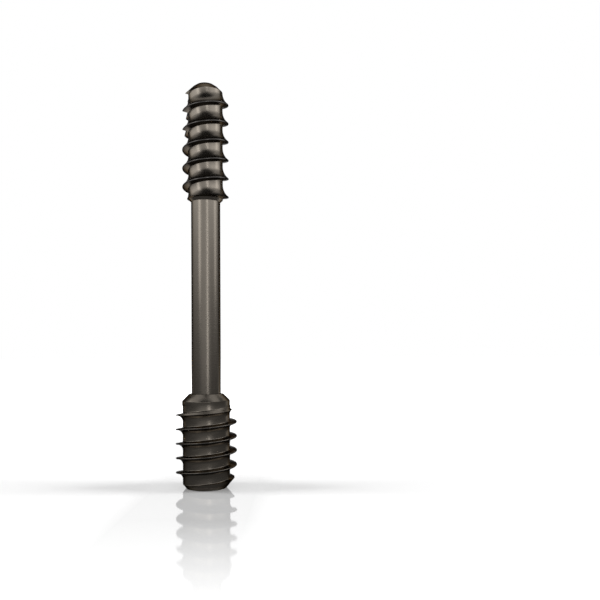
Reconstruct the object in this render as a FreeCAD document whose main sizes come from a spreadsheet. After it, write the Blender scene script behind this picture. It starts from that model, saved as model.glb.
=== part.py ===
"""Headless bone compression screw, turned and thread-cut from one bar.

The screw has two right-hand threads with different pitches and a plain shank between them.
Its leading thread is coarser than its trailing thread, so that turning it in draws two
fragments together. It has no head: a hexagonal socket is sunk into the trailing end.
Frame: origin at the centre of the trailing face, +Z along the axis towards the tip,
azimuth 0 along +X. All lengths are in millimetres and all angles in degrees.
"""

import FreeCAD, Part
import os
import Sketcher


# Driving dimensions

SIZES = {
    "overall_length": 40.0,
    "shank_dia": 2.86,
    # Leading end: thread, core and nose
    "tip_section_length": 11.83,
    "tip_thread_dia": 4.56,
    "tip_core_dia": 3.39,
    "tip_pitch": 1.825,
    "tip_crest_width": 0.1,
    "tip_hollow_width": 1.14,
    "tip_hollow_depth": 0.147,
    "tip_flank_slope": 10.0,
    "tip_crest_offset": 0.505,
    "tip_end_chamfer": 45.0,
    "tip_end_slope": 12.0,
    "tip_cone_slope": 45.0,
    "nose_flat_dia": 0.6,
    "nose_base_dia": 2.5,
    "nose_height": 0.53,
    "nose_bulge": 0.076,
    # Trailing end: thread, collar and foot
    "head_length": 9.27,
    "head_thread_dia": 6.0,
    "head_core_dia": 4.63,
    "head_collar_dia": 4.74,
    "head_thread_length": 7.82,
    "head_pitch": 1.41,
    "head_crest_width": 0.13,
    "head_hollow_width": 0.63,
    "head_hollow_depth": 0.22,
    "head_flank_slope": 10.0,
    "head_crest_offset": 0.815,
    "head_entry_slope": 45.0,
    "head_shoulder_dia": 3.36,
    "head_shoulder_slope": 45.0,
    "foot_dia": 3.94,
    "foot_taper_angle": 40.0,
    # Driver socket
    "hex_across_flats": 2.75,
    "hex_depth": 3.2,
    "socket_mouth_dia": 3.35,
    "pilot_dia": 2.6,
    "pilot_depth": 3.6,
    "drill_point_slope": 31.0,
    # Cutting flutes
    "tip_flute_azimuth": 200.0,
    "tip_flute_length": 5.4,
    "tip_flute_floor": 1.3,
    "tip_flute_slope": 6.0,
    "head_flute_azimuth": 190.0,
    "head_flute_length": 3.2,
    "head_flute_floor": 1.9,
    "flute_runout": 45.0,
    # How far a cutter stands past the bar's surface
    "thread_overreach": 0.05,
    "cutter_overreach": 1.0,
}


def make_sheet(doc):
    """Put every driving dimension into a spreadsheet cell with an alias."""
    sheet = doc.addObject("Spreadsheet::Sheet", "Sizes")
    for row, (alias, value) in enumerate(SIZES.items(), start=1):
        sheet.set(f"A{row}", alias)
        sheet.set(f"B{row}", str(value))
        sheet.setAlias(f"B{row}", alias)
    doc.recompute()
    return sheet


def origin_plane(body, role):
    """Find one of the body's own origin planes by its role."""
    for feature in body.Origin.OriginFeatures:
        if feature.Role == role:
            return feature
    raise ValueError(f"no origin feature {role}")


def evaluate(sketch, formula):
    """Work out an expression of the sheet's values."""
    return float(sketch.evalExpression(formula))


def bind(sketch, constraint, formula):
    """Add a constraint whose value follows an expression."""
    number = sketch.addConstraint(constraint)
    sketch.setExpression(f"Constraints[{number}]", formula)


def bind_point(sketch, edge, end, x, y):
    """Bind one end of an edge to the expressions for its two coordinates."""
    for kind, zero_axis, formula in (("DistanceX", -2, x), ("DistanceY", -1, y)):
        if formula == "0":
            sketch.addConstraint(Sketcher.Constraint("PointOnObject", edge, end, zero_axis))
        else:
            value = evaluate(sketch, formula)
            bind(sketch, Sketcher.Constraint(kind, edge, end, value), formula)


def bind_radius(sketch, edge, start, end, bulge):
    """Bind an arc's radius to its chord, between two points, and its height over the chord."""
    half_chord = f"sqrt((({end[0]}) - ({start[0]}))^2 + (({end[1]}) - ({start[1]}))^2) / 2"
    formula = f"(({half_chord})^2 + ({bulge})^2) / (2 * ({bulge}))"
    bind(sketch, Sketcher.Constraint("Radius", edge, evaluate(sketch, formula)), formula)


def outline(body, name, role, points, bulges=None):
    """Draw a closed sketch through points given as pairs of expressions.

    bulges maps an edge's number to the height of its arc over its chord, an expression.
    The arc stands out to the left of the edge's direction of travel.
    """
    bulges = bulges or {}
    sketch = body.newObject("Sketcher::SketchObject", name)
    sketch.AttachmentSupport = (origin_plane(body, role), [""])
    sketch.MapMode = "FlatFace"
    corners = [FreeCAD.Vector(evaluate(sketch, x), evaluate(sketch, y), 0) for x, y in points]
    following = [*range(1, len(points)), 0]
    first_end = []
    last_end = []
    for edge, start in enumerate(corners):
        end = corners[following[edge]]
        if edge in bulges:
            left = FreeCAD.Vector(start.y - end.y, end.x - start.x, 0).normalize()
            middle = (start + end) * 0.5 + left * evaluate(sketch, bulges[edge])
            sketch.addGeometry(Part.Arc(end, middle, start), False)
        else:
            sketch.addGeometry(Part.LineSegment(start, end), False)
        first_end.append(2 if edge in bulges else 1)
        last_end.append(1 if edge in bulges else 2)
    for edge, other in enumerate(following):
        joint = Sketcher.Constraint("Coincident", edge, last_end[edge], other, first_end[other])
        sketch.addConstraint(joint)
    for edge, (x, y) in enumerate(points):
        bind_point(sketch, edge, first_end[edge], x, y)
    for edge, bulge in bulges.items():
        bind_radius(sketch, edge, points[edge], points[following[edge]], bulge)
    return sketch


def turn(body, kind, sketch, name):
    """Revolve a sketch about the screw's axis, as a solid or as a cut."""
    feature = body.newObject(kind, name)
    feature.Profile = sketch
    feature.ReferenceAxis = (sketch, ["V_Axis"])
    feature.Angle = 360
    sketch.Visibility = False
    return feature


def cut_thread(body, sketch, name, pitch, height):
    """Sweep a groove's section round the axis, right-handed, to leave a ridge of one start."""
    feature = body.newObject("PartDesign::SubtractiveHelix", name)
    feature.Profile = sketch
    feature.ReferenceAxis = (sketch, ["V_Axis"])
    feature.Mode = 0
    feature.setExpression("Pitch", pitch)
    feature.setExpression("Height", height)
    feature.LeftHanded = False
    return feature


def cut_flute(body, sketch, name, azimuth, width):
    """Mill a flat-floored notch that leaves a radial face at the given azimuth."""
    about_axis = FreeCAD.Vector(0, 1, 0)
    turned = FreeCAD.Rotation(about_axis, evaluate(sketch, azimuth))
    sketch.AttachmentOffset = FreeCAD.Placement(FreeCAD.Vector(0, 0, 0), turned)
    sketch.setExpression("AttachmentOffset.Rotation.Angle", azimuth)
    feature = body.newObject("PartDesign::Pocket", name)
    feature.Profile = sketch
    feature.setExpression("Length", width)
    feature.Reversed = True
    return feature


def make_bar(body):
    """Turn the bar: one diameter for each thread, and their step hidden in the later waist."""
    middle = "(Sizes.head_length + Sizes.overall_length - Sizes.tip_section_length) / 2"
    head = "Sizes.head_thread_dia / 2"
    tip = "Sizes.tip_thread_dia / 2"
    points = [
        ("0", "0"),
        (head, "0"),
        (head, middle),
        (tip, middle),
        (tip, "Sizes.overall_length"),
        ("0", "Sizes.overall_length"),
    ]
    sketch = outline(body, "bar_profile", "XZ_Plane", points)
    return turn(body, "PartDesign::Revolution", sketch, "bar")


def cut_tip_thread(body):
    """Cut the leading thread: its flat flank faces the trailing end."""
    crest = "Sizes.overall_length - Sizes.tip_section_length + Sizes.tip_crest_offset"
    first = f"{crest} - 2 * Sizes.tip_pitch"
    core = "Sizes.tip_core_dia / 2"
    outer = "Sizes.tip_thread_dia / 2 + Sizes.thread_overreach"
    depth = "(Sizes.tip_thread_dia - Sizes.tip_core_dia) / 2"
    slope = "tan(Sizes.tip_flank_slope * 1deg)"
    flat = f"{first} + Sizes.tip_pitch - Sizes.tip_crest_width / 2"
    points = [
        (outer, f"{first} + Sizes.tip_crest_width / 4"),
        (core, f"{first} + Sizes.tip_crest_width / 2 + Sizes.tip_hollow_width"),
        (core, f"{flat} - {depth} * {slope}"),
        (outer, f"{flat} + Sizes.thread_overreach * {slope}"),
    ]
    bulges = {0: "Sizes.tip_hollow_depth"}
    sketch = outline(body, "tip_groove_section", "XZ_Plane", points, bulges)
    height = f"Sizes.overall_length - ({first})"
    return cut_thread(body, sketch, "tip_thread", "Sizes.tip_pitch", height)


def cut_head_thread(body):
    """Cut the trailing thread: its flat flank faces the leading end."""
    first = "Sizes.head_crest_offset - 2 * Sizes.head_pitch"
    core = "Sizes.head_core_dia / 2"
    outer = "Sizes.head_thread_dia / 2 + Sizes.thread_overreach"
    depth = "(Sizes.head_thread_dia - Sizes.head_core_dia) / 2"
    slope = "tan(Sizes.head_flank_slope * 1deg)"
    flat = f"{first} + Sizes.head_crest_width / 2"
    hollow_end = f"{first} + Sizes.head_pitch - Sizes.head_crest_width / 2 - Sizes.head_hollow_width"
    points = [
        (outer, f"{flat} - Sizes.thread_overreach * {slope}"),
        (core, f"{flat} + {depth} * {slope}"),
        (core, hollow_end),
        (outer, f"{first} + Sizes.head_pitch - Sizes.head_crest_width / 4"),
    ]
    bulges = {2: "Sizes.head_hollow_depth"}
    sketch = outline(body, "head_groove_section", "XZ_Plane", points, bulges)
    height = f"Sizes.head_length - ({first})"
    return cut_thread(body, sketch, "head_thread", "Sizes.head_pitch", height)


def turn_waist(body):
    """Turn the collar, the shoulder, the shank and the ends of both threads beside it."""
    shank = "Sizes.shank_dia / 2"
    collar = "Sizes.head_collar_dia / 2"
    shoulder = "Sizes.head_shoulder_dia / 2"
    head_outer = "Sizes.head_thread_dia / 2 + Sizes.cutter_overreach"
    tip_outer = "Sizes.tip_thread_dia / 2 + Sizes.cutter_overreach"
    shoulder_drop = f"({collar} - {shoulder}) * tan(Sizes.head_shoulder_slope * 1deg)"
    entry_drop = f"({head_outer} - {collar}) * tan(Sizes.head_entry_slope * 1deg)"
    tip_core = "Sizes.tip_core_dia / 2"
    tip_start = "Sizes.overall_length - Sizes.tip_section_length"
    tip_step = f"{tip_start} + ({tip_core} - {shank}) * tan(Sizes.tip_end_chamfer * 1deg)"
    tip_rise = f"({tip_outer} - {tip_core}) * tan(Sizes.tip_end_slope * 1deg)"
    points = [
        (head_outer, f"Sizes.head_thread_length - {entry_drop}"),
        (collar, "Sizes.head_thread_length"),
        (collar, f"Sizes.head_length - {shoulder_drop}"),
        (shoulder, "Sizes.head_length"),
        (shank, "Sizes.head_length"),
        (shank, tip_start),
        (tip_core, tip_step),
        (tip_outer, f"{tip_step} + {tip_rise}"),
        (head_outer, f"{tip_step} + {tip_rise}"),
    ]
    sketch = outline(body, "waist_profile", "XZ_Plane", points)
    return turn(body, "PartDesign::Groove", sketch, "waist")


def turn_foot(body):
    """Taper the trailing end down to its flat face."""
    foot = "Sizes.foot_dia / 2"
    outer = "Sizes.head_thread_dia / 2 + Sizes.cutter_overreach"
    rise = f"({outer} - {foot}) / tan(Sizes.foot_taper_angle * 1deg)"
    points = [
        (foot, "0"),
        (outer, "0"),
        (outer, rise),
    ]
    sketch = outline(body, "foot_profile", "XZ_Plane", points)
    return turn(body, "PartDesign::Groove", sketch, "foot_taper")


def turn_nose(body):
    """Turn the cone at the tip and round it over into a small flat."""
    base = "Sizes.nose_base_dia / 2"
    outer = "Sizes.tip_thread_dia / 2 + Sizes.cutter_overreach"
    cone_drop = f"({outer} - {base}) * tan(Sizes.tip_cone_slope * 1deg)"
    top = "Sizes.overall_length"
    points = [
        ("Sizes.nose_flat_dia / 2", top),
        (base, f"{top} - Sizes.nose_height"),
        (outer, f"{top} - Sizes.nose_height - ({cone_drop})"),
        (outer, top),
    ]
    sketch = outline(body, "nose_profile", "XZ_Plane", points, {0: "Sizes.nose_bulge"})
    return turn(body, "PartDesign::Groove", sketch, "nose")


def drill_socket(body):
    """Drill the socket's pilot hole and open its mouth with a 45 degree countersink."""
    mouth = "Sizes.socket_mouth_dia / 2"
    pilot = "Sizes.pilot_dia / 2"
    points = [
        ("0", "0"),
        (mouth, "0"),
        (pilot, f"{mouth} - {pilot}"),
        (pilot, "Sizes.pilot_depth"),
        ("0", f"Sizes.pilot_depth + {pilot} * tan(Sizes.drill_point_slope * 1deg)"),
    ]
    sketch = outline(body, "socket_profile", "XZ_Plane", points)
    return turn(body, "PartDesign::Groove", sketch, "socket_bore")


def broach_hexagon(body):
    """Cut the six flats of the driver socket."""
    reach = "Sizes.hex_across_flats / sqrt(3)"
    half = "Sizes.hex_across_flats / 2"
    points = [
        (reach, "0"),
        (f"{reach} / 2", half),
        (f"-{reach} / 2", half),
        (f"-{reach}", "0"),
        (f"-{reach} / 2", f"-{half}"),
        (f"{reach} / 2", f"-{half}"),
    ]
    sketch = outline(body, "hexagon", "XY_Plane", points)
    feature = body.newObject("PartDesign::Pocket", "hex_socket")
    feature.Profile = sketch
    feature.setExpression("Length", "Sizes.hex_depth")
    feature.Reversed = True
    return feature


def mill_tip_flute(body):
    """Mill the tip's flute: its floor rises slowly from the nose and then runs out."""
    outer = "Sizes.tip_thread_dia / 2 + Sizes.cutter_overreach"
    floor = "Sizes.tip_flute_floor"
    end_floor = f"{floor} + Sizes.tip_flute_length * tan(Sizes.tip_flute_slope * 1deg)"
    runout = f"({outer} - ({end_floor})) * tan(Sizes.flute_runout * 1deg)"
    top = "Sizes.overall_length"
    points = [
        (floor, top),
        (end_floor, f"{top} - Sizes.tip_flute_length"),
        (outer, f"{top} - Sizes.tip_flute_length - {runout}"),
        (outer, top),
    ]
    sketch = outline(body, "tip_flute_profile", "XZ_Plane", points)
    azimuth = "Sizes.tip_flute_azimuth"
    return cut_flute(body, sketch, "tip_flute", azimuth, "Sizes.tip_thread_dia")


def mill_head_flute(body):
    """Mill the trailing thread's flute from the shoulder and let it run out up the thread."""
    outer = "Sizes.head_thread_dia / 2 + Sizes.cutter_overreach"
    floor = "Sizes.head_flute_floor"
    end = "Sizes.head_length - Sizes.head_flute_length"
    runout = f"({outer} - {floor}) * tan(Sizes.flute_runout * 1deg)"
    points = [
        (floor, "Sizes.head_length"),
        (floor, end),
        (outer, f"{end} - {runout}"),
        (outer, "Sizes.head_length"),
    ]
    sketch = outline(body, "head_flute_profile", "XZ_Plane", points)
    azimuth = "Sizes.head_flute_azimuth"
    return cut_flute(body, sketch, "head_flute", azimuth, "Sizes.head_thread_dia")


STEPS = [
    make_bar,
    turn_waist,
    turn_foot,
    turn_nose,
    mill_tip_flute,
    mill_head_flute,
    cut_tip_thread,
    cut_head_thread,
    drill_socket,
    broach_hexagon,
]


def make_screw(doc):
    """Build the screw step by step and check that each cut takes material away."""
    body = doc.addObject("PartDesign::Body", "compression_screw")
    body.Label = "compression_screw"
    volume = None
    for step in STEPS:
        feature = step(body)
        doc.recompute()
        if feature.Shape.isNull() or not feature.Shape.isValid():
            raise RuntimeError(f"{feature.Name} has no valid shape")
        if volume is not None and feature.Shape.Volume >= volume:
            raise RuntimeError(f"{feature.Name} cut nothing")
        volume = feature.Shape.Volume
        print(feature.Name, round(volume, 3), len(feature.Shape.Faces))
    return body


def check(doc, bodies):
    """Stop if any object failed or any piece is not one valid solid."""
    for item in doc.Objects:
        if "Invalid" in item.State or "Error" in item.State:
            raise RuntimeError(f"{item.Name} failed: {item.State}")
    for body in bodies:
        if body.Shape.isNull() or not body.Shape.isValid() or len(body.Shape.Solids) != 1:
            raise RuntimeError(f"{body.Label} is not one valid solid")


def main():
    doc = FreeCAD.newDocument("compression_screw_model")
    make_sheet(doc)
    bodies = [make_screw(doc)]
    doc.recompute()
    check(doc, bodies)
    os.makedirs("parts", exist_ok=True)
    for body in bodies:
        body.Shape.exportStep(f"parts/{body.Label}.step")


main()
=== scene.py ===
"""Looks of a headless bone compression screw, standing on its trailing face."""

import math

import bmesh
import bpy
from mathutils import Matrix, Vector


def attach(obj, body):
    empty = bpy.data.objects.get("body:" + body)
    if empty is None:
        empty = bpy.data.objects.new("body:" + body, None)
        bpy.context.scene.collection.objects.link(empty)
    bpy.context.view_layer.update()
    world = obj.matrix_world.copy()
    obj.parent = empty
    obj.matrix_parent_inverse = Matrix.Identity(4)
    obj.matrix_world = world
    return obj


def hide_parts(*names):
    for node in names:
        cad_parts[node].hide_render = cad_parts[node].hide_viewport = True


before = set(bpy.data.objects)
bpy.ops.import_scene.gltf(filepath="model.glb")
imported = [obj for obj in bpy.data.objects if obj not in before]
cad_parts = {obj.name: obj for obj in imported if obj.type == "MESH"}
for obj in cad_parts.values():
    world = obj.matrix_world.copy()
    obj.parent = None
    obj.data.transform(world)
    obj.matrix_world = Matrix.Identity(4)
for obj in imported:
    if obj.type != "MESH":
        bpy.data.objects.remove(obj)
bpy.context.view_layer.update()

MM = 0.001


# Camera, at the height and distance that the photograph was taken from, in millimetres and degrees

LENS = 42.45
SHIFT_Y = 0.0927
CAMERA_DISTANCE = 70.0
CAMERA_ASIDE = 9.28
CAMERA_HEIGHT = 13.0
CAMERA_ROLL = 0.2


def make_camera():
    """Look level along +Y, past the screw's right side."""
    data = bpy.data.cameras.new("camera")
    data.lens = LENS
    data.sensor_width = 36.0
    data.shift_y = SHIFT_Y
    data.clip_start = 1 * MM
    data.clip_end = 100.0
    camera = bpy.data.objects.new("camera", data)
    camera.location = Vector((CAMERA_ASIDE, -CAMERA_DISTANCE, CAMERA_HEIGHT)) * MM
    camera.rotation_euler = (math.radians(90.0), math.radians(CAMERA_ROLL), 0.0)
    bpy.context.collection.objects.link(camera)
    bpy.context.scene.camera = camera


# Sizes of the screw, in millimetres

OVERALL = 40.0
SHANK_R = 1.43

TIP_PITCH = 1.825
TIP_CREST_R = 2.28
TIP_CORE_R = 1.695
TIP_CREST_Z = 28.675
TIP_START_Z = 28.17
TIP_END_SLOPE = 12.0
TIP_CREST_WIDTH = 0.1
TIP_HOLLOW_WIDTH = 1.14
TIP_HOLLOW_DEPTH = 0.147
NOSE_BASE_R = 1.25
NOSE_BASE_Z = 39.47
NOSE_CORNER = (0.86, 39.74)
NOSE_FLAT = (0.45, 39.88)

HEAD_PITCH = 1.41
HEAD_CREST_R = 3.0
HEAD_CORE_R = 2.315
HEAD_CREST_Z = 0.815
HEAD_CREST_WIDTH = 0.13
HEAD_HOLLOW_WIDTH = 0.63
HEAD_HOLLOW_DEPTH = 0.22
HEAD_TOP_Z = 9.27
HEAD_THREAD_END_Z = 7.82
COLLAR_R = 2.37
SHOULDER_R = 1.68
FOOT_R = 1.97
FOOT_TAPER = 40.0

FLANK_SLOPE = 10.0
CREST_ROUND = 0.055
ROOT_ROUND = 0.06
EDGE_ROUND = 0.03

HEX_ACROSS = 2.75
HEX_DEPTH = 3.2
MOUTH_R = 1.675
PILOT_R = 1.3
PILOT_DEPTH = 3.6
DRILL_POINT_SLOPE = 31.0

TIP_FLUTE_AZIMUTH = 200.0
TIP_FLUTE_LENGTH = 5.4
TIP_FLUTE_FLOOR = 1.3
TIP_FLUTE_SLOPE = 6.0
TIP_FLUTE_REACH = 3.3
TIP_FLUTE_WIDTH = 4.6
HEAD_FLUTE_AZIMUTH = 190.0
HEAD_FLUTE_LENGTH = 3.2
HEAD_FLUTE_FLOOR = 1.9
HEAD_FLUTE_REACH = 4.0
HEAD_FLUTE_WIDTH = 6.0


# How the meshes are made: steps, overlaps and the smallest distances, in millimetres

TURN_STEPS = 144
HOLLOW_STEPS = 10
SPARE_TURNS = 2
MERGE_DISTANCE = 0.0004
CUT_DISTANCE = 0.000001
SHARP_ANGLE = 28.0
TIP_ROD = (27.0, 41.0)
HEAD_ROD = (-1.0, 10.0)
CREST_CLEAR = 0.02
JOIN_INSIDE = 0.03
JOIN_LENGTH = 1.0
CUT_PAST = 1.0
BORE_PAST = 0.5
HEX_PAST = 0.7


# Outlines, drawn as pairs of radius and height

def arc_points(start, end, bulge, steps):
    """Points of an arc after its start and up to its end, standing out to the left by bulge."""
    start, end = Vector(start), Vector(end)
    chord = end - start
    left = Vector((-chord.y, chord.x)).normalized()
    radius = ((chord.length / 2) ** 2 + bulge ** 2) / (2 * bulge)
    centre = (start + end) / 2 + left * (bulge - radius)
    from_centre = start - centre
    sweep = -2 * math.asin(chord.length / 2 / radius)
    points = []
    for step in range(1, steps + 1):
        angle = sweep * step / steps
        swung = Vector((
            from_centre.x * math.cos(angle) - from_centre.y * math.sin(angle),
            from_centre.x * math.sin(angle) + from_centre.y * math.cos(angle),
        ))
        points.append(tuple(centre + swung))
    return points


def rounded(before, corner, after, radius, steps=3):
    """Points that round a corner between its two neighbours."""
    before, corner, after = Vector(before), Vector(corner), Vector(after)
    back = (before - corner).normalized()
    ahead = (after - corner).normalized()
    half_angle = back.angle(ahead) / 2
    reach = radius / math.tan(half_angle)
    centre = corner + (back + ahead).normalized() * (radius / math.sin(half_angle))
    first = corner + back * reach - centre
    last = corner + ahead * reach - centre
    sides = [first.lerp(last, step / steps).normalized() for step in range(steps + 1)]
    return [tuple(centre + side * radius) for side in sides]


def outline(corners, radius=EDGE_ROUND):
    """An open line through the corners with every inner one rounded."""
    points = [corners[0]]
    for before, corner, after in zip(corners, corners[1:], corners[2:]):
        points += rounded(before, corner, after, radius)
    return points + [corners[-1]]


def tip_section():
    """One pitch of the leading thread upwards from its crest: hollow flank, core, flat flank."""
    half = TIP_CREST_WIDTH / 2
    rise = (TIP_CREST_R - TIP_CORE_R) * math.tan(math.radians(FLANK_SLOPE))
    flat_root = TIP_PITCH - half - rise
    top = (TIP_CREST_R, half)
    hollow = arc_points(top, (TIP_CORE_R, half + TIP_HOLLOW_WIDTH), TIP_HOLLOW_DEPTH, HOLLOW_STEPS)
    root = rounded(
        hollow[-1], (TIP_CORE_R, flat_root), (TIP_CREST_R, TIP_PITCH - half), ROOT_ROUND)
    crest = rounded(
        (TIP_CORE_R, flat_root), (TIP_CREST_R, TIP_PITCH - half),
        (TIP_CREST_R, TIP_PITCH + half), CREST_ROUND)
    upper = rounded((TIP_CREST_R, -half), top, hollow[1], CREST_ROUND)
    return upper + hollow[1:] + root + crest


def head_section():
    """One pitch of the trailing thread upwards from its crest: flat flank, core, hollow flank."""
    half = HEAD_CREST_WIDTH / 2
    rise = (HEAD_CREST_R - HEAD_CORE_R) * math.tan(math.radians(FLANK_SLOPE))
    top = (HEAD_CREST_R, half)
    root = (HEAD_CORE_R, half + rise)
    hollow_start = (HEAD_CORE_R, HEAD_PITCH - half - HEAD_HOLLOW_WIDTH)
    next_crest = (HEAD_CREST_R, HEAD_PITCH - half)
    hollow = arc_points(hollow_start, next_crest, HEAD_HOLLOW_DEPTH, HOLLOW_STEPS)
    upper = rounded((HEAD_CREST_R, -half), top, root, CREST_ROUND)
    corner = rounded(top, root, hollow_start, ROOT_ROUND)
    crest = rounded(hollow[-2], next_crest, (HEAD_CREST_R, HEAD_PITCH + half), CREST_ROUND)
    return upper + corner + [hollow_start] + hollow[:-1] + crest


# Modelling

def add_line(bm, points):
    """Add an open line of edges in the XZ plane, given as radius and height in millimetres."""
    verts = [bm.verts.new((r * MM, 0.0, z * MM)) for r, z in points]
    edges = [bm.edges.new(pair) for pair in zip(verts, verts[1:])]
    return verts + edges


def finish_mesh(bm, name):
    """Merge doubles, turn the faces outwards and make an object of the mesh."""
    bmesh.ops.remove_doubles(bm, verts=bm.verts, dist=MERGE_DISTANCE * MM)
    bmesh.ops.recalc_face_normals(bm, faces=bm.faces)
    mesh = bpy.data.meshes.new(name)
    bm.to_mesh(mesh)
    bm.free()
    obj = bpy.data.objects.new(name, mesh)
    bpy.context.collection.objects.link(obj)
    return obj


def turned(name, points, seam=0.5):
    """A solid of revolution from an outline that starts and ends on the axis.

    seam turns the mesh by that share of a step, so that no edge lies on another solid's edge.
    """
    bm = bmesh.new()
    geom = add_line(bm, points)
    bmesh.ops.spin(
        bm, geom=geom, cent=(0, 0, 0), axis=(0, 0, 1), angle=math.tau,
        steps=TURN_STEPS, use_merge=True)
    turn = Matrix.Rotation(seam * math.tau / TURN_STEPS, 3, "Z")
    bmesh.ops.rotate(bm, verts=bm.verts, cent=(0, 0, 0), matrix=turn)
    return finish_mesh(bm, name)


def threaded(name, section, pitch, crest_z, low, high):
    """A threaded rod between two heights: a section repeated along the axis and swept by one turn."""
    below = math.ceil((crest_z - low) / pitch) + SPARE_TURNS
    above = math.ceil((high - crest_z) / pitch) + SPARE_TURNS
    points = [
        (r, crest_z + turn * pitch + z)
        for turn in range(-below, above)
        for r, z in section
    ]
    bm = bmesh.new()
    geom = add_line(bm, points)
    bmesh.ops.spin(
        bm, geom=geom, cent=(0, 0, 0), axis=(0, 0, 1), angle=math.tau,
        dvec=(0, 0, pitch * MM / TURN_STEPS), steps=TURN_STEPS)
    bmesh.ops.remove_doubles(bm, verts=bm.verts, dist=MERGE_DISTANCE * MM)
    for height, clear_outer in ((low, False), (high, True)):
        bmesh.ops.bisect_plane(
            bm, geom=bm.verts[:] + bm.edges[:] + bm.faces[:], dist=CUT_DISTANCE * MM,
            plane_co=(0, 0, height * MM), plane_no=(0, 0, 1),
            clear_outer=clear_outer, clear_inner=not clear_outer)
    bmesh.ops.holes_fill(bm, edges=[edge for edge in bm.edges if edge.is_boundary])
    return finish_mesh(bm, name)


def milled(name, points, azimuth, width):
    """A cutter with one radial face at an azimuth, reaching towards smaller azimuths."""
    angle = math.radians(azimuth)
    out = Vector((math.cos(angle), math.sin(angle), 0.0))
    back = Vector((math.sin(angle), -math.cos(angle), 0.0))
    bm = bmesh.new()
    verts = [bm.verts.new((out * r + Vector((0, 0, z))) * MM) for r, z in points]
    face = bm.faces.new(verts)
    swept = bmesh.ops.extrude_face_region(bm, geom=[face])
    moved = [item for item in swept["geom"] if isinstance(item, bmesh.types.BMVert)]
    bmesh.ops.translate(bm, verts=moved, vec=back * width * MM)
    return finish_mesh(bm, name)


def hexagon_cutter(name):
    """A hexagonal prism with its corners on the X axis, from below the foot to the socket's floor."""
    reach = HEX_ACROSS / math.sqrt(3) * MM
    bottom = -HEX_PAST * MM
    bm = bmesh.new()
    corners = [math.radians(60 * number) for number in range(6)]
    verts = [bm.verts.new((reach * math.cos(a), reach * math.sin(a), bottom)) for a in corners]
    swept = bmesh.ops.extrude_face_region(bm, geom=[bm.faces.new(verts)])
    moved = [item for item in swept["geom"] if isinstance(item, bmesh.types.BMVert)]
    bmesh.ops.translate(bm, verts=moved, vec=(0, 0, HEX_DEPTH * MM - bottom))
    return finish_mesh(bm, name)


def apply_booleans(obj, steps):
    """Cut, join or trim an object with others, which are then thrown away."""
    for operation, other in steps:
        modifier = obj.modifiers.new(operation.lower(), "BOOLEAN")
        modifier.operation = operation
        modifier.solver = "EXACT"
        modifier.object = other
    graph = bpy.context.evaluated_depsgraph_get()
    mesh = bpy.data.meshes.new_from_object(obj.evaluated_get(graph))
    obj.modifiers.clear()
    obj.data = mesh
    for _, other in steps:
        bpy.data.objects.remove(other)


def make_tip():
    """The leading thread with its cone, nose and cutting flute."""
    rod = threaded("tip_section", tip_section(), TIP_PITCH, TIP_CREST_Z, *TIP_ROD)
    inner = SHANK_R - JOIN_INSIDE
    inner_z = TIP_START_Z - JOIN_INSIDE
    step_z = TIP_START_Z + TIP_CORE_R - SHANK_R
    outer = TIP_CREST_R + CREST_CLEAR
    ramp_z = step_z + (outer - TIP_CORE_R) * math.tan(math.radians(TIP_END_SLOPE))
    cone_z = NOSE_BASE_Z - (outer - NOSE_BASE_R)
    corners = [
        (0.0, inner_z), (inner, inner_z), (TIP_CORE_R, step_z),
        (outer, ramp_z), (outer, cone_z), (NOSE_BASE_R, NOSE_BASE_Z),
    ]
    crown = [NOSE_CORNER, NOSE_FLAT, (0.0, NOSE_FLAT[1])]
    envelope = turned("tip_envelope", outline(corners + crown))
    end_floor = TIP_FLUTE_FLOOR + TIP_FLUTE_LENGTH * math.tan(math.radians(TIP_FLUTE_SLOPE))
    end_z = OVERALL - TIP_FLUTE_LENGTH
    run_out_z = end_z - (TIP_FLUTE_REACH - end_floor)
    flute = milled("tip_flute", [
        (TIP_FLUTE_FLOOR, OVERALL), (end_floor, end_z), (TIP_FLUTE_REACH, run_out_z),
        (TIP_FLUTE_REACH, OVERALL + CUT_PAST), (TIP_FLUTE_FLOOR, OVERALL + CUT_PAST),
    ], TIP_FLUTE_AZIMUTH, TIP_FLUTE_WIDTH)
    apply_booleans(envelope, [("DIFFERENCE", flute)])
    apply_booleans(rod, [("INTERSECT", envelope)])
    return rod


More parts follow.
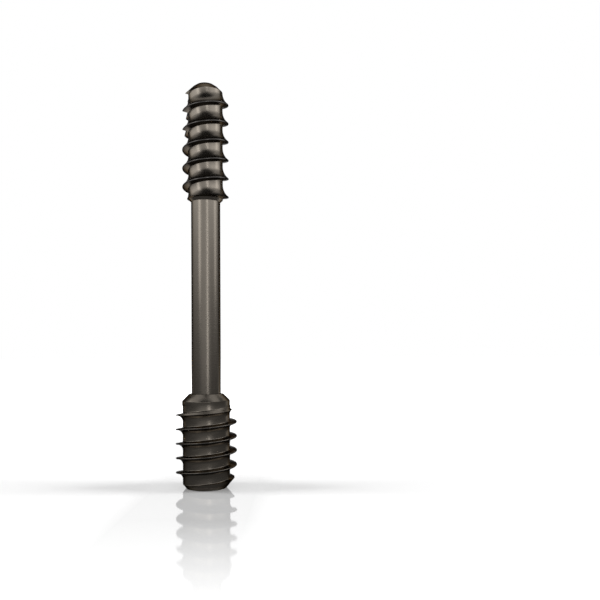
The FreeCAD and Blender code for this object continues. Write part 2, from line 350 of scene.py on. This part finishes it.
def make_head():
    """The trailing thread with its foot, collar, shoulder, flute and driver socket."""
    rod = threaded("head_section", head_section(), HEAD_PITCH, HEAD_CREST_Z, *HEAD_ROD)
    outer = HEAD_CREST_R + CREST_CLEAR
    foot_z = (outer - FOOT_R) / math.tan(math.radians(FOOT_TAPER))
    entry_z = HEAD_THREAD_END_Z - (outer - COLLAR_R)
    envelope = turned("head_envelope", outline([
        (0.0, 0.0), (FOOT_R, 0.0), (outer, foot_z), (outer, entry_z),
        (COLLAR_R, HEAD_THREAD_END_Z), (COLLAR_R, HEAD_TOP_Z - (COLLAR_R - SHOULDER_R)),
        (SHOULDER_R, HEAD_TOP_Z), (0.0, HEAD_TOP_Z),
    ]))
    end_z = HEAD_TOP_Z - HEAD_FLUTE_LENGTH
    run_out_z = end_z - (HEAD_FLUTE_REACH - HEAD_FLUTE_FLOOR)
    flute = milled("head_flute", [
        (HEAD_FLUTE_FLOOR, HEAD_TOP_Z + CUT_PAST), (HEAD_FLUTE_FLOOR, end_z),
        (HEAD_FLUTE_REACH, run_out_z), (HEAD_FLUTE_REACH, HEAD_TOP_Z + CUT_PAST),
    ], HEAD_FLUTE_AZIMUTH, HEAD_FLUTE_WIDTH)
    point_z = PILOT_DEPTH + PILOT_R * math.tan(math.radians(DRILL_POINT_SLOPE))
    bore = turned("socket_bore", [
        (0.0, -BORE_PAST), (MOUTH_R + BORE_PAST, -BORE_PAST), (PILOT_R, MOUTH_R - PILOT_R),
        (PILOT_R, PILOT_DEPTH), (0.0, point_z),
    ], seam=0.25)
    hexagon = hexagon_cutter("hexagon")
    apply_booleans(envelope, [("DIFFERENCE", bore), ("DIFFERENCE", hexagon), ("DIFFERENCE", flute)])
    apply_booleans(rod, [("INTERSECT", envelope)])
    return rod


def make_screw():
    """Join both threaded ends with the shank in one piece that stands for the CAD node."""
    low = HEAD_TOP_Z - JOIN_LENGTH
    high = TIP_START_Z + JOIN_LENGTH
    screw = turned("screw", [(0.0, low), (SHANK_R, low), (SHANK_R, high), (0.0, high)], seam=0.25)
    apply_booleans(screw, [("UNION", make_tip()), ("UNION", make_head())])
    screw.data.shade_smooth()
    screw.data.set_sharp_from_angle(angle=math.radians(SHARP_ANGLE))
    screw.data.materials.append(titanium_material())
    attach(screw, "root")
    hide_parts("compression_screw")


# The metal, with texture scales per metre and distances in millimetres

METAL_TONES = ((0.180, 0.160, 0.136, 1.0), (0.210, 0.187, 0.160, 1.0))
GRAZING_TINT = (0.06, 0.055, 0.05, 1.0)
CLOUD_SCALE = 420.0
# Painted shade: the crests and the flanks under them are darkened towards this colour, more towards
# the crest, but not where the trailing thread's flanks face up
CREST_PAINTED_SHADE = (0.075, 0.072, 0.070, 1.0)
CREST_SHADE_SHARE = 0.9
SHADE_FROM_R = 1.85
MIDDLE_Z = 20.0
UPPER_FLANK = (0.3, 0.7)
TOOL_LINES = (60.0, 60.0, 9000.0)
LINE_RANGE = (0.3, 0.7)
LINE_ROUGHNESS = (0.2, 0.3)
LINE_STRENGTH = 0.12
LINE_DEPTH = 0.01


# The floor, with its glow from near to far and the part of it that is polished

FLOOR_HALF_SIZE = 3.0
FLOOR_GAP = 0.01
FLOOR_GREY = 0.9
FLOOR_FAR = (36.0, 90.0)
FLOOR_GLOW = (0.02, 0.7)
MIRROR_SHARE = 0.52
MIRROR_FRONT = (14.0, 36.0)
MIRROR_BEHIND = (4.0, 8.0)
MIRROR_ASIDE = (5.0, 7.5)
MIRROR_ROUGHNESS = 0.05


# The card tent that the metal reflects: greys by height, from the ground to the top

TENT_RADIUS = 62.0
TENT_TOP = 80.0
TENT_REACH = 138.0
TENT_HOLE_R = 2.2
TENT_ROOF_HOLE_R = 0.5
TENT_GAP = 0.02
TENT_STEPS = 48
TENT_SIDE = (18.0, 48.0)
TENT_BACK = (22.0, 34.0)
TENT_OVERHEAD = (-11.0, -6.0)
TENT_FRONT_GREYS = (
    (0.0, 0.21), (0.09, 0.4), (0.28, 0.75), (0.48, 1.0), (0.75, 0.75), (0.95, 0.15), (1.0, 0.02))
TENT_SIDE_GREYS = (
    (0.0, 0.13), (0.1, 0.16), (0.25, 0.35), (0.45, 0.85), (0.62, 1.7), (0.92, 1.6), (1.0, 0.75))
TENT_BACK_GREYS = ((0.0, 1.0), (0.07, 0.7), (0.2, 0.05), (1.0, 0.02))


# Lamps and world; a soft box has its bearing, height, width, length and radiance

SOFT_BOX_DISTANCE = 56.0
SOFT_BOXES = {
    "left_box": (-41.0, 48.0, 16.0, 48.0, 1.45),
    "right_strip": (20.0, 34.0, 9.0, 56.0, 1.85),
    "right_box": (86.0, 47.0, 16.0, 46.0, 1.05),
}
SIDE_LAMP_SIZE = 260.0
SIDE_LAMP_ASIDE = 520.0
SIDE_LAMP_HEIGHT = 330.0
SIDE_LAMP_POWER = 2.6
WORLD_LEVEL = 0.4


# Plain colours

BLACK = (0.0, 0.0, 0.0, 1.0)
WHITE = (1.0, 1.0, 1.0, 1.0)


# Nodes

def new_material(name):
    """A material, with its node tree and the Principled shader in it."""
    material = bpy.data.materials.new(name)
    material.use_nodes = True
    tree = material.node_tree
    return material, tree, tree.nodes["Principled BSDF"]


def add_node(tree, kind, values=(), **settings):
    """Add a node with its settings and the values of its sockets, given by name or number."""
    node = tree.nodes.new(kind)
    for setting, value in settings.items():
        setattr(node, setting, value)
    for socket, value in dict(values).items():
        node.inputs[socket].default_value = value
    return node


def combined(tree, operation, first, second, clamp=False):
    """The result of a Math node that joins two sockets."""
    node = add_node(tree, "ShaderNodeMath", operation=operation, use_clamp=clamp)
    tree.links.new(first, node.inputs[0])
    tree.links.new(second, node.inputs[1])
    return node.outputs[0]


def changed(tree, operation, value, number):
    """The result of a Math node that works on a socket with a plain number."""
    node = add_node(tree, "ShaderNodeMath", {1: number}, operation=operation)
    tree.links.new(value, node.inputs[0])
    return node.outputs[0]


def faded(tree, value, start, end, low=0.0, high=1.0):
    """A number that goes from low to high while a socket's value goes from start to end."""
    node = add_node(tree, "ShaderNodeMapRange", {
        "From Min": start, "From Max": end, "To Min": low, "To Max": high})
    tree.links.new(value, node.inputs["Value"])
    return node.outputs[0]


def absolute(tree, value):
    """A value without its sign."""
    node = add_node(tree, "ShaderNodeMath", operation="ABSOLUTE")
    tree.links.new(value, node.inputs[0])
    return node.outputs[0]


def parts_of(tree, vector):
    """The X, Y and Z of a vector."""
    node = add_node(tree, "ShaderNodeSeparateXYZ")
    tree.links.new(vector, node.inputs[0])
    return node.outputs


def length_of(tree, vector):
    """The length of a vector."""
    node = add_node(tree, "ShaderNodeVectorMath", operation="LENGTH")
    tree.links.new(vector, node.inputs[0])
    return node.outputs["Value"]


def mixed(tree, share, first, second):
    """A share of the way between two colours, each a socket or a plain colour."""
    node = add_node(tree, "ShaderNodeMix", data_type="RGBA")
    tree.links.new(share, node.inputs[0])
    for number, colour in ((6, first), (7, second)):
        if isinstance(colour, bpy.types.NodeSocket):
            tree.links.new(colour, node.inputs[number])
        else:
            node.inputs[number].default_value = colour
    return node.outputs[2]


def graded(tree, value, greys):
    """A grey read from a ramp, whose stops are pairs of position and grey."""
    node = add_node(tree, "ShaderNodeValToRGB")
    elements = node.color_ramp.elements
    while len(elements) < len(greys):
        elements.new(1.0)
    for element, (position, grey) in zip(elements, greys):
        element.position = position
        element.color = (grey, grey, grey, 1.0)
    tree.links.new(value, node.inputs["Fac"])
    return node.outputs["Color"]


# Materials

def painted_crest_shade(tree, place):
    """Share of painted shade on the crests: none at the core, and none on the trailing thread's upper
    flanks, which are left lit.
    """
    parts = parts_of(tree, place.outputs["Object"])
    flat = add_node(tree, "ShaderNodeCombineXYZ")
    tree.links.new(parts["X"], flat.inputs["X"])
    tree.links.new(parts["Y"], flat.inputs["Y"])
    trailing = changed(tree, "LESS_THAN", parts["Z"], MIDDLE_Z * MM)
    wider = changed(tree, "MULTIPLY", trailing, (HEAD_CREST_R - TIP_CREST_R) * MM)
    radius = combined(tree, "SUBTRACT", length_of(tree, flat.outputs[0]), wider)
    dark = faded(tree, radius, SHADE_FROM_R * MM, TIP_CREST_R * MM, high=CREST_SHADE_SHARE)
    upwards = faded(tree, parts_of(tree, place.outputs["Normal"])["Z"], *UPPER_FLANK)
    upper_flank = combined(tree, "MULTIPLY", upwards, trailing)
    return combined(tree, "SUBTRACT", dark, upper_flank, clamp=True)


def titanium_material():
    """Dark turned titanium: faint clouds, crests made darker still by painted shade, and fine lines
    from the tool.
    """
    material, tree, shader = new_material("titanium")
    link = tree.links.new
    place = add_node(tree, "ShaderNodeTexCoord")
    shader.inputs["Metallic"].default_value = 1.0
    shader.inputs["Specular Tint"].default_value = GRAZING_TINT
    clouds = add_node(tree, "ShaderNodeTexNoise", {"Scale": CLOUD_SCALE, "Detail": 3.0})
    link(place.outputs["Object"], clouds.inputs["Vector"])
    tone = mixed(tree, clouds.outputs["Fac"], *METAL_TONES)
    # Painted shade on the crests, mixed into the metal's colour
    link(mixed(tree, painted_crest_shade(tree, place), tone, CREST_PAINTED_SHADE), shader.inputs["Base Color"])
    squeezed = add_node(tree, "ShaderNodeMapping", {"Scale": TOOL_LINES})
    lines = add_node(tree, "ShaderNodeTexNoise", {"Scale": 1.0, "Detail": 3.0, "Roughness": 0.6})
    bump = add_node(tree, "ShaderNodeBump", {
        "Strength": LINE_STRENGTH, "Distance": LINE_DEPTH * MM})
    link(place.outputs["Object"], squeezed.inputs["Vector"])
    link(squeezed.outputs[0], lines.inputs["Vector"])
    roughness = faded(tree, lines.outputs["Fac"], *LINE_RANGE, *LINE_ROUGHNESS)
    link(roughness, shader.inputs["Roughness"])
    link(lines.outputs["Fac"], bump.inputs["Height"])
    link(bump.outputs[0], shader.inputs["Normal"])
    return material


def polish_share(tree, parts):
    """How much of the floor mirrors: most at the screw's foot, none to the sides or behind."""
    near, far = MIRROR_FRONT
    front = faded(tree, parts["Y"], -far * MM, -near * MM, high=MIRROR_SHARE)
    near, far = MIRROR_BEHIND
    behind = faded(tree, parts["Y"], far * MM, near * MM)
    near, far = MIRROR_ASIDE
    aside = absolute(tree, parts["X"])
    sides = faded(tree, aside, far * MM, near * MM)
    return combined(tree, "MULTIPLY", front, combined(tree, "MULTIPLY", sides, behind))


def floor_material():
    """White board that stays white in reflections, with a polish that mirrors the screw's foot."""
    material, tree, shader = new_material("floor")
    link = tree.links.new
    shader.inputs["Base Color"].default_value = (FLOOR_GREY, FLOOR_GREY, FLOOR_GREY, 1.0)
    shader.inputs["Roughness"].default_value = 1.0
    shader.inputs["Specular IOR Level"].default_value = 0.0
    shader.inputs["Emission Color"].default_value = WHITE
    place = add_node(tree, "ShaderNodeTexCoord")
    path = add_node(tree, "ShaderNodeLightPath")
    seen = combined(tree, "MAXIMUM", path.outputs["Is Camera Ray"], path.outputs["Is Glossy Ray"])
    near, far = FLOOR_FAR
    away = length_of(tree, place.outputs["Object"])
    glow = faded(tree, away, near * MM, far * MM, *FLOOR_GLOW)
    link(combined(tree, "MULTIPLY", seen, glow), shader.inputs["Emission Strength"])
    mirror = add_node(tree, "ShaderNodeBsdfGlossy", {"Roughness": MIRROR_ROUGHNESS})
    board = add_node(tree, "ShaderNodeMixShader")
    link(polish_share(tree, parts_of(tree, place.outputs["Object"])), board.inputs[0])
    link(shader.outputs[0], board.inputs[1])
    link(mirror.outputs[0], board.inputs[2])
    link(board.outputs[0], tree.nodes["Material Output"].inputs["Surface"])
    return material


def tent_material():
    """Card with its own greys in front, at the sides and overhead, and at the back."""
    material, tree, shader = new_material("tent")
    shader.inputs["Base Color"].default_value = BLACK
    shader.inputs["Specular IOR Level"].default_value = 0.0
    shader.inputs["Emission Strength"].default_value = 1.0
    place = add_node(tree, "ShaderNodeTexCoord")
    faces = add_node(tree, "ShaderNodeNewGeometry")
    inside = add_node(tree, "ShaderNodeMath", {0: 1.0}, operation="SUBTRACT")
    parts = parts_of(tree, place.outputs["Object"])
    height = faded(tree, parts["Z"], 0.0, TENT_TOP * MM)
    near, far = TENT_SIDE
    aside = faded(tree, absolute(tree, parts["X"]), near * MM, far * MM)
    near, far = TENT_OVERHEAD
    overhead = faded(tree, parts["Y"], near * MM, far * MM)
    near, far = TENT_BACK
    back = faded(tree, parts["Y"], near * MM, far * MM)
    open_side = combined(tree, "MAXIMUM", aside, overhead)
    front = mixed(
        tree, open_side, graded(tree, height, TENT_FRONT_GREYS), graded(tree, height, TENT_SIDE_GREYS))
    card = mixed(tree, back, front, graded(tree, height, TENT_BACK_GREYS))
    tree.links.new(card, shader.inputs["Emission Color"])
    # The card is clear from outside, so that it hides nothing from the floor's polish
    tree.links.new(faces.outputs["Backfacing"], inside.inputs[1])
    tree.links.new(inside.outputs[0], shader.inputs["Alpha"])
    return material


# Stage

def stage_object(name, bm, material):
    """Turn a mesh into a part of the stage."""
    mesh = bpy.data.meshes.new(name)
    bm.to_mesh(mesh)
    bm.free()
    obj = bpy.data.objects.new(name, mesh)
    bpy.context.collection.objects.link(obj)
    mesh.materials.append(material)
    return obj


def make_floor():
    """A level board just under the screw."""
    bm = bmesh.new()
    bmesh.ops.create_grid(bm, x_segments=1, y_segments=1, size=FLOOR_HALF_SIZE)
    bmesh.ops.translate(bm, verts=bm.verts, vec=(0, 0, -FLOOR_GAP * MM))
    stage_object("floor", bm, floor_material())


def make_tent():
    """A round card tent, open at the back, that only reflections in the metal can show."""
    bm = bmesh.new()
    geom = add_line(bm, [
        (TENT_HOLE_R, TENT_GAP), (TENT_RADIUS, TENT_GAP),
        (TENT_RADIUS, TENT_TOP), (TENT_ROOF_HOLE_R, TENT_TOP),
    ])
    start = Matrix.Rotation(math.radians(-90.0 - TENT_REACH), 3, "Z")
    bmesh.ops.rotate(bm, verts=bm.verts, cent=(0, 0, 0), matrix=start)
    bmesh.ops.spin(
        bm, geom=geom, cent=(0, 0, 0), axis=(0, 0, 1),
        angle=math.radians(2 * TENT_REACH), steps=TENT_STEPS)
    bmesh.ops.recalc_face_normals(bm, faces=bm.faces)
    bmesh.ops.reverse_faces(bm, faces=bm.faces)
    tent = stage_object("tent", bm, tent_material())
    tent.visible_camera = False
    tent.visible_diffuse = False
    tent.visible_transmission = False
    tent.visible_shadow = False


def place_lamp(name, data, location, target):
    """Put a lamp in its place, turned towards a target and hidden from the camera."""
    lamp = bpy.data.objects.new(name, data)
    lamp.location = Vector(location) * MM
    lamp.rotation_euler = (Vector(target) - Vector(location)).to_track_quat("-Z", "Y").to_euler()
    lamp.visible_camera = False
    bpy.context.collection.objects.link(lamp)
    return lamp


def make_soft_box(name, bearing, height, width, length, radiance):
    """A soft box for the metal alone, which looks at the screw's axis from its own height."""
    data = bpy.data.lights.new(name, "AREA")
    data.shape = "RECTANGLE"
    data.size = width * MM
    data.size_y = length * MM
    data.energy = radiance * math.pi * data.size * data.size_y
    data.diffuse_factor = 0.0
    angle = math.radians(bearing)
    location = (math.sin(angle) * SOFT_BOX_DISTANCE, -math.cos(angle) * SOFT_BOX_DISTANCE, height)
    place_lamp(name, data, location, (0.0, 0.0, height))


def make_side_lamp(name, side):
    """A wide lamp for matt surfaces alone, which throws the screw's shadow sideways."""
    data = bpy.data.lights.new(name, "AREA")
    data.shape = "SQUARE"
    data.size = SIDE_LAMP_SIZE * MM
    data.energy = SIDE_LAMP_POWER
    data.specular_factor = 0.0
    data.transmission_factor = 0.0
    location = (side * SIDE_LAMP_ASIDE, 0.0, SIDE_LAMP_HEIGHT)
    lamp = place_lamp(name, data, location, (0.0, 0.0, 0.0))
    lamp.visible_glossy = False


def make_world():
    """Plain light that is white behind the screw and in reflections."""
    world = bpy.data.worlds.new("world")
    bpy.context.scene.world = world
    world.use_nodes = True
    tree = world.node_tree
    background = tree.nodes["Background"]
    background.inputs["Color"].default_value = WHITE
    path = add_node(tree, "ShaderNodeLightPath")
    seen = combined(tree, "MAXIMUM", path.outputs["Is Camera Ray"], path.outputs["Is Glossy Ray"])
    shown = combined(tree, "MAXIMUM", seen, path.outputs["Is Transmission Ray"])
    strength = faded(tree, shown, 0.0, 1.0, WORLD_LEVEL, 1.0)
    tree.links.new(strength, background.inputs["Strength"])


make_camera()
make_screw()
make_floor()
make_tent()
for box_name, box_values in SOFT_BOXES.items():
    make_soft_box(box_name, *box_values)
make_side_lamp("left_side", -1)
make_side_lamp("right_side", 1)
make_world()
bpy.context.scene.view_settings.view_transform = "Standard"
